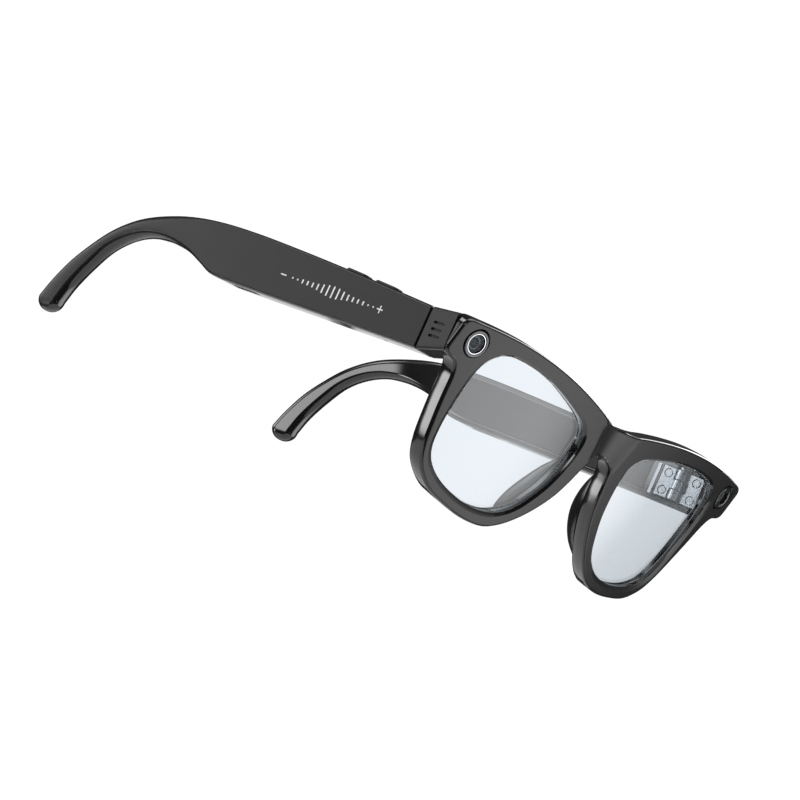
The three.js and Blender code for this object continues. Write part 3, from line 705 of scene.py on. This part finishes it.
def build_camera():
    build_bezel(RIGHT, "camera", BRIGHT)
    place = module_to_row(RIGHT)
    barrel = [(0, -2.7), (3.4, -2.7), (3.4, -1.0), (2.3, -1.0), (2.2, -1.2), (1.75, -1.2)]
    barrel += [(1.7, -1.1), (1.5, -1.1), (1.45, -1.35), (1.2, -1.45), (1.15, -1.8), (0, -1.8)]
    piece = lathe("camera_barrel_turned", barrel, place)
    dress(piece, "front", "dark_plastic", GLOSS, BRIGHT, replaces=["camera_barrel"])
    paint_ring(piece, place @ Matrix.Translation((0, 0, -1.1)), 1.5, 1.7)
    dome = [(1.05 * math.sin(t), -1.6 + 0.42 * math.cos(t)) for t in np.linspace(0, math.pi / 2, 12)]
    piece = lathe("camera_optic_ground", [(0, -1.72), *reversed(dome)], place)
    dress(piece, "front", "lens_blue", OPTIC, replaces=["camera_optic"])


def build_light():
    build_bezel(LEFT, "light", DIM)
    place = module_to_row(LEFT)
    guide = [(0, -2.7), (2.2, -2.7), (2.2, -2.2), (1.35, -1.2), (1.25, -1.05), (1.05, -1.05)]
    guide += [(1.0, -1.25), (0.4, -1.3), (0.32, -1.1), (0, -1.06)]
    piece = lathe("light_guide_moulded", guide, place)
    dress(piece, "front", "diffuser_white", DARK, DIFFUSER, replaces=["light_guide"])
    paint_ring(piece, place @ Matrix.Translation((0, 0, -1.1)), 0.9, 1.3)


# ---------- temples ----------
# A temple's top and under edges from the seam to the tip: u back along the temple, n up.
TOP = [
    (HALF_GAP, ENDPIECE_TOP), (28.6, 7.7), (50, 8.6), (66, 9), (78, 8.8), (88.6, 7.9), (97, 6.4),
    (105.7, 3.8), (111.7, 0.7), (117, -3.3), (121.9, -8.6), (126.3, -14.5), (129.9, -21.5),
    (131.6, -26),
]
UNDER = [
    (72, -5.5), (76.6, -5), (81, -3.4), (86.5, -1.6), (92.5, -0.7), (98.6, -0.6), (104.3, -1.6),
    (109.8, -4.2), (114.6, -8.2), (118.5, -13.9), (122, -20.5), (123.7, -25.5),
]
TIP_LENGTH = 3.4
STRAIGHT_END = 72.0
THINNING = (78, 104)  # where the temple thins to its tip
OUTER_RADIUS, OUTER_SOFTER = 0.85, 1.4  # an edge's rounding, and how much more it has at the tip
INNER_RADIUS, INNER_SOFTER = 1.1, 1.1
SIDE_PAIRS = 78  # the pairs of edge points that come before the tail's end


def tip_pairs(top, under):
    """The rounded end: the last section shrinks round a half ellipse."""
    middle, half = (top + under) / 2, (top - under) / 2
    onward = np.array((half[1], -half[0])) / np.linalg.norm(half)
    onward *= -np.sign(onward[1])
    pairs = []
    for t in np.radians(np.linspace(8, 84, 12)):
        centre = middle + onward * TIP_LENGTH * math.sin(t)
        pairs.append((centre + half * math.cos(t), centre - half * math.cos(t), math.cos(t) ** 0.7))
    return pairs


def temple_pairs():
    """Matching top and under points along the temple, each with the section's fullness."""
    top = smooth(TOP, 900)
    straight = top[top[:, 0] < STRAIGHT_END]
    bent = top[top[:, 0] >= STRAIGHT_END]
    at = [HALF_GAP, 0.45, *np.linspace(3, STRAIGHT_END - 2, 24)]
    pairs = []
    for u in at:
        n = float(np.interp(u, straight[:, 0], straight[:, 1]))
        pairs.append(((u, n), (u, ENDPIECE_BOTTOM), 1.0))
    steps = 56
    pairs += [(tuple(a), tuple(b), 1.0) for a, b in zip(spaced(bent, steps), smooth(UNDER, steps))]
    return pairs + tip_pairs(np.array(pairs[-1][0]), np.array(pairs[-1][1]))


def ease(value, low, high):
    """0 below low, 1 above high, and a soft step between."""
    share = min(max((value - low) / (high - low), 0), 1)
    return share * share * (3 - 2 * share)


def temple_section(top, under, fullness, inset):
    """A rounded section from under to top: w points out of the head, the other way runs top to under."""
    u = (top[0] + under[0]) / 2
    share = ease(u, *THINNING)
    thickness = TEMPLE_THICKNESS + (TIP_THICKNESS - TEMPLE_THICKNESS) * share
    outer = TEMPLE_THICKNESS - thickness * (1 - fullness) / 2 - inset
    inner = TEMPLE_THICKNESS - thickness * (1 + fullness) / 2 + inset
    top, under = np.array(top), np.array(under)
    height = np.linalg.norm(top - under)
    along = (top - under) / height
    crisp = OUTER_RADIUS + OUTER_SOFTER * share
    soft = INNER_RADIUS + INNER_SOFTER * share
    limit = 0.45 * min(height, outer - inner)
    corners = [(outer, 0, -90, crisp), (outer, height, 0, crisp)]
    corners += [(inner, height, 90, soft), (inner, 0, 180, soft)]
    ring = []
    for w, h, start, radius in corners:
        radius = min(radius, limit)
        cw = w - radius if w == outer else w + radius
        ch = h - radius - inset if h else radius + inset
        for k in range(6):
            turn = math.radians(start + 90 * k / 5)
            place = under + along * (ch + radius * math.sin(turn))
            ring.append((cw + radius * math.cos(turn), place[0], place[1]))
    return ring


def temple_shell(side):
    rings = []
    for i, (top, under, fullness) in enumerate(temple_pairs()):
        rings.append(temple_section(top, under, fullness, 0.25 if i == 0 else 0))
    return loft(f"{SIDE_NAME[side]}_temple_moulding", rings, TEMPLE[side], smooth_angle=40)


def side_profile(inset, start, end):
    """The temple's side outline between two stations, shrunk by inset."""
    top, under = [], []
    for a, b, _ in temple_pairs():
        a, b = np.array(a), np.array(b)
        along = (a - b) / np.linalg.norm(a - b)
        top.append(a - along * inset)
        under.append(b + along * inset)
    top, under = np.array(top), np.array(under)
    us = np.linspace(start, end, 28)
    lower = np.interp(us, under[:SIDE_PAIRS, 0], under[:SIDE_PAIRS, 1])
    upper = np.interp(us, top[:SIDE_PAIRS, 0], top[:SIDE_PAIRS, 1])
    return [*zip(us, lower), *zip(us[::-1], upper[::-1])]


BUTTON_MIDDLE, BUTTON_WIDTH, BUTTON_PROUD = 4.4, 3.6, 0.7
BUTTONS = {"capture": (15.8, 23.8), "power": (27.0, 34.6)}  # where each starts and ends along the temple
KEY_LEVELS = [(-2.4, 0), (0.35, 0), (0.52, 0.06), (0.64, 0.2), (BUTTON_PROUD, 0.45)]  # height, inset
KNEE_U, KNEE_N = TOP[1]  # the top edge's slope changes a little here
SECOND_SLOPE = 0.9 / 21.4


def top_edge(u):
    """The frame of the temple's top edge at u: z = 0 is its surface."""
    slope = (KNEE_N - ENDPIECE_TOP) / KNEE_U
    height = ENDPIECE_TOP + slope * u if u < KNEE_U else KNEE_N + (u - KNEE_U) * SECOND_SLOPE
    return Matrix.Translation((BUTTON_MIDDLE, u, height)) @ Matrix.Rotation(math.atan(slope), 4, "X")


def button_outline(name, grow, radius):
    start, end = BUTTONS[name]
    half = (end - start) / 2 + grow
    wide = BUTTON_WIDTH / 2 + grow
    return rounded_rectangle(-wide, wide, -half, half, radius, 8)


def button_place(name):
    return TEMPLE[RIGHT] @ top_edge(sum(BUTTONS[name]) / 2)


def build_button(name):
    rings = []
    for height, inset in KEY_LEVELS:
        ring = button_outline(name, -inset, 1.2 - inset / 2)
        rings.append([(x, y, height) for x, y in ring])
    button = f"{name}_button"
    key = loft(f"{button}_key", rings, button_place(name))
    dress(key, button, "gloss_black_plastic", SATIN, replaces=[button])
    even_shading(key)


CAVITY = (11.5, 80.0)
GRILLE_SPAN = (60.5, 69.5, 3.0, 5.8)  # along the temple, and across its underside
MICROPHONE = (14.4, 3.1)


def temple_cuts(side):
    """The hinge pocket, the room inside, the openings in the underside and the buttons' slots."""
    place = TEMPLE[side]
    start, end = CAVITY
    cuts = hinge_cuts(side, *TEMPLE_POCKET)
    rebate = side_profile(WALL, start, end)
    cuts.append(prism("rebate", rebate, -1, 1.5, on_side, place))
    hollow = side_profile(WALL + LEDGE, start + LEDGE, end - LEDGE)
    cuts.append(prism("hollow", hollow, 1.4, TEMPLE_THICKNESS - WALL, on_side, place))
    u0, u1, w0, w1 = GRILLE_SPAN
    cuts.append(prism("grille_slot", rounded_rectangle(w0, w1, u0, u1, 0.6), -8, -3, upright, place))
    u, w = MICROPHONE
    cuts.append(cylinder("microphone_hole", 0.5, -8, -2.5, place @ Matrix.Translation((w, u, 0)), 24))
    if side == RIGHT:
        for name in BUTTONS:
            outline = button_outline(name, 0.25, 1.4)
            cuts.append(prism("button_slot", outline, -3, 3, upright, button_place(name)))
    return cuts


def paint_temple(obj, side):
    """Satin on the outer face and on the faces that point up, gloss on the underside, the inner face and
    the rest.
    """
    out = (TEMPLE[side].to_3x3() @ Vector((1, 0, 0))).normalized()
    for polygon in obj.data.polygons:
        satin = polygon.normal @ out > 0.8 or polygon.normal.z > 0.9
        polygon.material_index = 0 if satin else 1


def build_temple(side):
    body = f"{SIDE_NAME[side]}_temple"
    shell = carve(temple_shell(side), *temple_cuts(side))
    dress(shell, body, "gloss_black_plastic", SATIN, GLOSS, replaces=[f"{body}_shell"])
    paint_temple(shell, side)
    even_shading(shell)


HINGE_TRIM = [  # along the temple from and to, up from and to, out from and to
    (9.0, 9.9, -4.6, 4.2, -0.3, 0.2),  # bar behind the leaf
    (7.3, 8.4, 3.2, 4.3, 0.3, 1.6),  # upper lug
    (7.3, 8.4, -4.3, -3.2, 0.3, 1.6),  # lower lug
    (7.3, 7.7, -3.1, 3.1, 0.7, 1.6),  # strip between them
]
PRINT_PROUD, PRINT_SUNK = 0.02, 0.05
SCALE_MIDDLE, SCALE_LEVEL, SCALE_SLOPE, SCALE_PITCH = 33.0, 0.85, 0.008, 1.85
BARS_EACH_WAY, DOTS_FROM = 8, 7  # bars on each side of the middle one, of which the outer ones are dots
BAR_WIDTH, BAR_HEIGHT, BAR_RISE, BAR_FALL = 0.5, 1.2, 2.1, 2.6
MINUS_U, PLUS_U, SIGN_ARM, SIGN_STROKE = 51.2, 15.8, 1.05, 0.34


def block(u0, u1, n0, n1, w0, w1, radius=0.15):
    """A small rounded block on a temple, as two rings."""
    outline = rounded_rectangle(u0, u1, n0, n1, radius, 4)
    return [[(w, u, n) for u, n in outline] for w in (w0, w1)]


def joined_blocks(name, blocks, place):
    """Several blocks as one piece."""
    points, faces = [], []
    for rings in blocks:
        shift = len(points)
        points += [p for ring in rings for p in ring]
        faces += [tuple(shift + i for i in f) for f in ring_faces(2, len(rings[0]))]
    return mesh_object(name, points, faces, place)


def build_hinge_trim(side):
    """The frame round the hinge leaf: a raised bar, two lugs and the strip between them."""
    name = SIDE_NAME[side]
    trim = joined_blocks(f"{name}_hinge_trim", [block(*spans) for spans in HINGE_TRIM], TEMPLE[side])
    dress(trim, f"{name}_temple", "steel", STEEL)


def build_volume_scale():
    """The printed volume scale: minus, rising and falling bars, plus."""
    slabs = []
    low, high = TEMPLE_THICKNESS - PRINT_SUNK, TEMPLE_THICKNESS + PRINT_PROUD
    half = SIGN_STROKE / 2

    def mark(u, width, height, lift=0.0):
        n = SCALE_LEVEL + SCALE_SLOPE * (u - SCALE_MIDDLE) + lift
        radius = 0.48 * min(width, height)
        up, along = height / 2, width / 2
        slabs.append(block(u - along, u + along, n - up, n + up, low, high, radius))

    for i in range(-BARS_EACH_WAY, BARS_EACH_WAY + 1):
        tall = BAR_HEIGHT + BAR_RISE * math.exp(-((i / BAR_FALL) ** 2))
        mark(SCALE_MIDDLE + i * SCALE_PITCH, BAR_WIDTH, BAR_WIDTH if abs(i) >= DOTS_FROM else tall)
    mark(MINUS_U, 2 * SIGN_ARM, SIGN_STROKE)
    mark(PLUS_U, 2 * SIGN_ARM, SIGN_STROKE)
    for way in (-1, 1):  # the plus's upright, above and below its bar
        mark(PLUS_U, SIGN_STROKE, SIGN_ARM - half, way * (SIGN_ARM + half) / 2)
    marks = joined_blocks("volume_scale_print", slabs, TEMPLE[RIGHT])
    dress(marks, "right_temple", "diffuser_white", PRINT)


# ---------- the CAD nodes that stay ----------
KEPT = [  # every other one is steel
    (COVER, ["brow_wire_cover", "left_temple_inner_cover", "right_temple_inner_cover"]),
    (CIRCUIT, ["camera_sensor_board", "light_board", "button_board"]),
    (CIRCUIT, ["left_circuit_board", "right_circuit_board"]),
    (FILM, ["brow_flex_cable", "touch_sensor_film"]),
    (FOIL, ["left_battery", "right_battery"]),
    (DARK, ["left_speaker", "right_speaker", "capture_switch", "power_switch"]),
    (GRILLE, ["left_speaker_grille", "right_speaker_grille"]),
    (GOLD, ["charge_pin_front", "charge_pin_rear"]),
]
EDGE_WIDTH, EDGE_ANGLE = 0.12, 40


def dress_kept_nodes():
    """Materials for the nodes that are carried over, and soft edges on the ones that can be seen."""
    looks = {node: look for look, nodes in KEPT for node in nodes}
    for node, obj in frame["nodes"].items():
        look = looks.get(node, STEEL)
        obj.data.materials.clear()
        obj.data.materials.append(look)
        if look in (STEEL, COVER, GOLD):
            edge = obj.modifiers.new("soft_edges", "BEVEL")
            edge.width, edge.segments, edge.limit_method = EDGE_WIDTH * MM, 2, "ANGLE"
            edge.angle_limit = math.radians(EDGE_ANGLE)


# ---------- stage ----------
FLOOR_RADIUS, FLOOR_LEVEL = 0.26, -0.16  # in metres: below the camera, which looks up from under the object


def build_floor():
    """A round pale table under the object."""
    rings, sides = 24, 96
    points = [(0, 0, FLOOR_LEVEL)]
    faces = []
    for r in range(1, rings + 1):
        for i in range(sides):
            turn = 2 * math.pi * i / sides
            reach = FLOOR_RADIUS * r / rings
            points.append((reach * math.cos(turn), reach * math.sin(turn), FLOOR_LEVEL))
    for i in range(sides):
        faces.append((0, 1 + i, 1 + (i + 1) % sides))
        for r in range(rings - 1):
            low, high = 1 + r * sides, 1 + (r + 1) * sides
            j = (i + 1) % sides
            faces.append((low + i, high + i, high + j, low + j))
    mesh = bpy.data.meshes.new("studio_floor")
    mesh.from_pydata(points, [], faces)
    floor = bpy.data.objects.new("studio_floor", mesh)
    bpy.context.collection.objects.link(floor)
    look = Nodes("pale_floor", (0.8, 0.8, 0.8), 0.9)
    look.colour(look.shade(look.noise(2, 1), (0.78, 0.78, 0.78), (0.84, 0.84, 0.84)))
    mesh.materials.append(look.material)


# Soft lights all round: direction, radiance, and the angles in degrees where each is full and gone.
GLOWS = [
    ((0.5, -0.86, -0.1), 3.0, 6, 38),  # sheen on the front
    ((-0.38, 0.92, 0.05), 5.0, 5, 18),  # sheen towards the right temple's end
    ((-0.9, 0.43, 0.05), 4.5, 7, 17),  # sheen on the left temple's inner side
    ((-0.45, 0.6, 0.62), 4.5, 5, 20),  # line along the temples' top edges
    ((-0.66, 0.65, -0.38), 7.0, 3, 10),  # highlight down the rims' sides
    ((-0.59, -0.8, 0.04), 6.0, 2, 9),  # line down the rims' outer edges
    ((0.686, -0.078, 0.723), 8.0, 3, 9),  # line along the front's top edge, in three lengths
    ((0.804, 0.043, 0.592), 8.0, 3, 9),
    ((0.874, 0.198, 0.443), 8.0, 3, 9),
    ((0.8, 0.59, -0.06), 1.2, 2, 6),  # line along the temples' undersides
    ((0.1, -0.1, 1.0), 2.4, 14, 40),  # overhead
]
AMBIENT = 0.05
BACKDROP = 1.05  # what shows behind the object and through its lenses


def build_lights():
    """The surroundings: the glows on a dark ground, and a plain pale backdrop where it is seen directly."""
    world = bpy.data.worlds.new("studio")
    bpy.context.scene.world = world
    world.use_nodes = True
    tree = world.node_tree
    direction = tree.nodes.new("ShaderNodeTexCoord").outputs["Generated"]
    total = None
    for towards, radiance, full, gone in GLOWS:
        dot = tree.nodes.new("ShaderNodeVectorMath")
        dot.operation = "DOT_PRODUCT"
        tree.links.new(direction, dot.inputs[0])
        dot.inputs[1].default_value = Vector(towards).normalized()
        glow = tree.nodes.new("ShaderNodeMapRange")
        glow.interpolation_type = "SMOOTHSTEP"
        tree.links.new(dot.outputs["Value"], glow.inputs["Value"])
        glow.inputs["From Min"].default_value = math.cos(math.radians(gone))
        glow.inputs["From Max"].default_value = math.cos(math.radians(full))
        glow.inputs["To Max"].default_value = radiance
        add = tree.nodes.new("ShaderNodeMath")
        add.operation = "ADD"
        tree.links.new(glow.outputs["Result"], add.inputs[0])
        if total is None:
            add.inputs[1].default_value = AMBIENT
        else:
            tree.links.new(total, add.inputs[1])
        total = add.outputs["Value"]
    path = tree.nodes.new("ShaderNodeLightPath")
    seen = tree.nodes.new("ShaderNodeMath")
    seen.operation = "MAXIMUM"
    tree.links.new(path.outputs["Is Camera Ray"], seen.inputs[0])
    tree.links.new(path.outputs["Is Transmission Ray"], seen.inputs[1])
    mix = tree.nodes.new("ShaderNodeMix")
    tree.links.new(seen.outputs["Value"], mix.inputs["Factor"])
    tree.links.new(total, mix.inputs["A"])
    mix.inputs["B"].default_value = BACKDROP
    tree.links.new(mix.outputs["Result"], tree.nodes["Background"].inputs["Color"])


CAMERA_PLACE = Vector((-1004.5, -674.2, 60.3))  # in the upright front's frame, as the angles below
CAMERA_AZIMUTH, CAMERA_ELEVATION, CAMERA_ROLL = -53.617, 2.117, 33.4
CAMERA_LENS = 209.51


def build_camera_view():
    """A distant camera in front of the right side, rolled so that the glasses lie aslant."""
    a, e = math.radians(CAMERA_AZIMUTH), math.radians(CAMERA_ELEVATION)
    back = Vector((math.sin(a) * math.cos(e), -math.cos(a) * math.cos(e), math.sin(e)))
    look = (-back).to_track_quat("-Z", "Y").to_matrix().to_4x4()
    roll = Matrix.Rotation(math.radians(CAMERA_ROLL), 4, "Z")
    data = bpy.data.cameras.new("camera")
    data.lens, data.sensor_width = CAMERA_LENS, 36
    data.clip_start, data.clip_end = 0.05, 50
    camera = bpy.data.objects.new("camera", data)
    turn = FRONT.to_3x3().to_4x4() @ look @ roll
    camera.matrix_world = Matrix.Translation(FRONT @ CAMERA_PLACE * MM) @ turn
    bpy.context.collection.objects.link(camera)
    bpy.context.scene.camera = camera


build_camera_view()
dress_kept_nodes()
build_front()
for side in (LEFT, RIGHT):
    build_lens(side)
    build_nose_pad(side)
    build_temple(side)
    build_hinge_trim(side)
build_camera()
build_light()
for name in BUTTONS:
    build_button(name)
build_volume_scale()
build_floor()
build_lights()
bpy.context.scene.view_settings.view_transform = "Standard"
